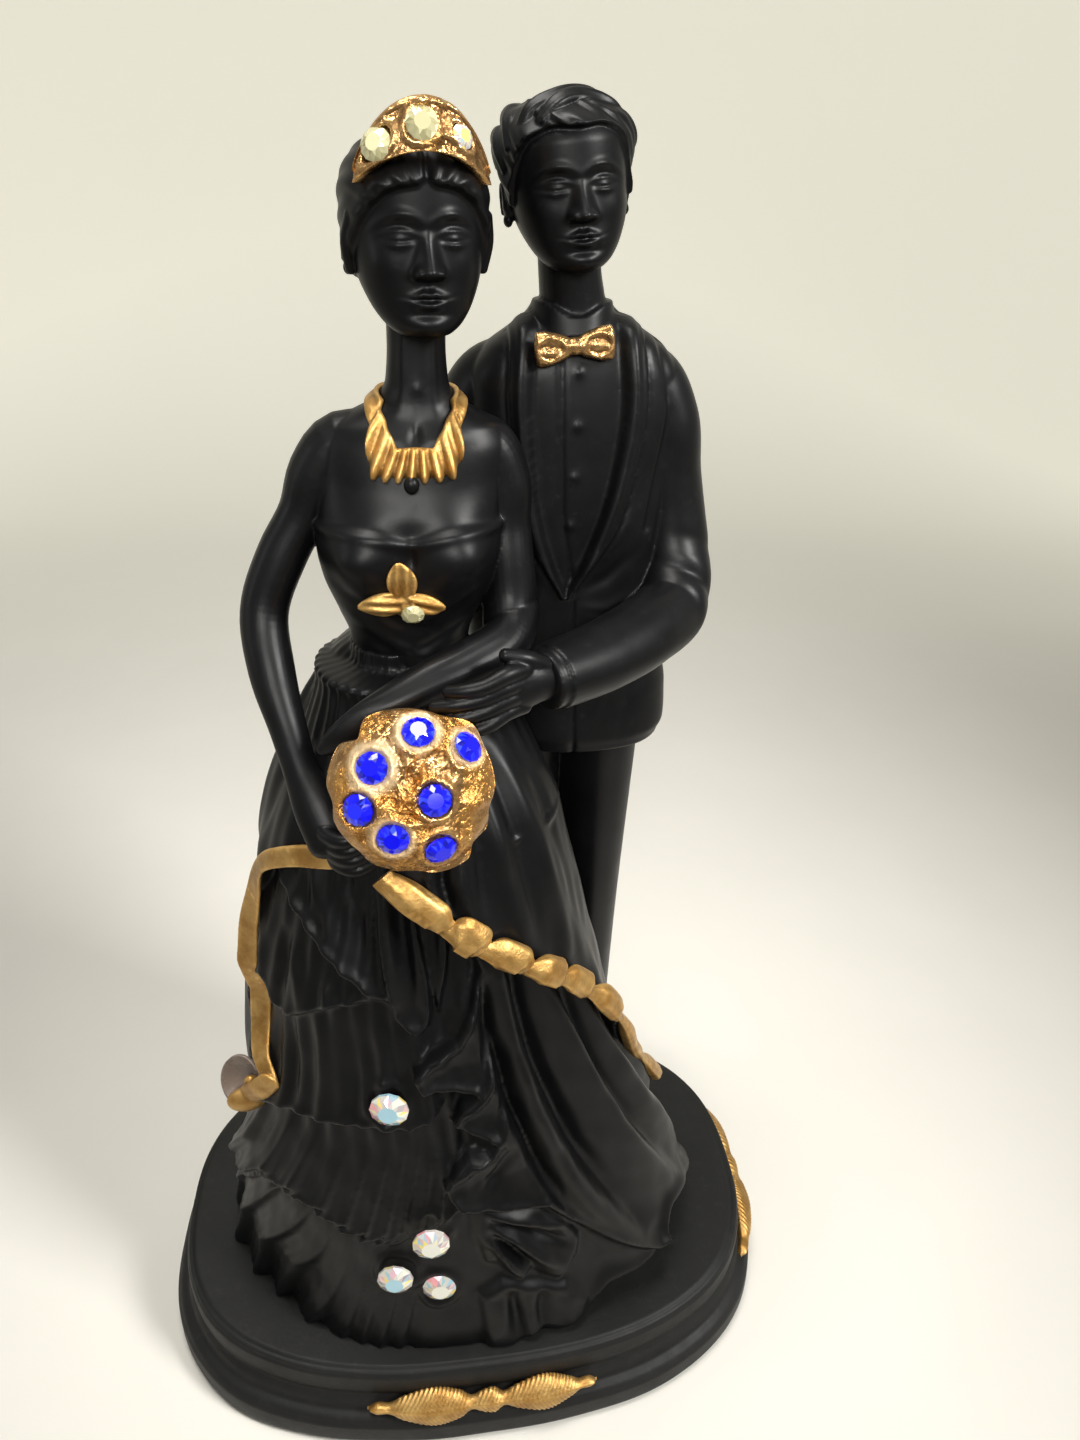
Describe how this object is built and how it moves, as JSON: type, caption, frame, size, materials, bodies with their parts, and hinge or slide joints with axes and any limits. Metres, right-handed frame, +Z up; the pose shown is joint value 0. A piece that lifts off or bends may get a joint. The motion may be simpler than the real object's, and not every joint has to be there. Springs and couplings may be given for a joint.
{
  "type": "wedding couple figurine",
  "caption": "Cast bride and groom on an oval plinth, in dark satin resin with gilded bouquet, tiara, trims and glass stones.",
  "frame": {"origin": "centre of the felt pad's underside, on the table", "axes": "+Z up, -Y the way the couple faces, +X to the groom's side"},
  "size_m": [0.1172, 0.0834, 0.2048],
  "materials": {
    "black_resin": "satin black paint over cast resin",
    "gilding": "gold paint over cast resin, darker in the hollows",
    "blue_glass": "faceted",
    "pale_glass": "faceted",
    "frost_glass": "faceted, iridescent coating",
    "felt": "felt"
  },
  "bodies": {
    "root": {"plinth": "black_resin", "felt_pad": "felt", "plinth_garland_front": "gilding", "plinth_garland_right": "gilding", "bride": "black_resin", "groom": "black_resin", "tiara": "gilding", "tiara_stone_1": "pale_glass", "tiara_stone_2": "pale_glass", "tiara_stone_3": "frost_glass", "necklace": "gilding", "necklace_drop": "black_resin", "bow_tie": "gilding", "bodice_spray": "gilding", "bodice_crystal": "pale_glass", "bouquet": "gilding", "bouquet_stone_1": "blue_glass", "bouquet_stone_2": "blue_glass", "bouquet_stone_3": "blue_glass", "bouquet_stone_4": "blue_glass", "bouquet_stone_5": "blue_glass", "bouquet_stone_6": "blue_glass", "bouquet_stone_7": "blue_glass", "hem_trim_right": "gilding", "hem_trim_left": "gilding", "skirt_stone_1": "frost_glass", "skirt_stone_2": "frost_glass", "skirt_stone_3": "frost_glass", "skirt_stone_4": "frost_glass"}
  },
  "joints": []
}
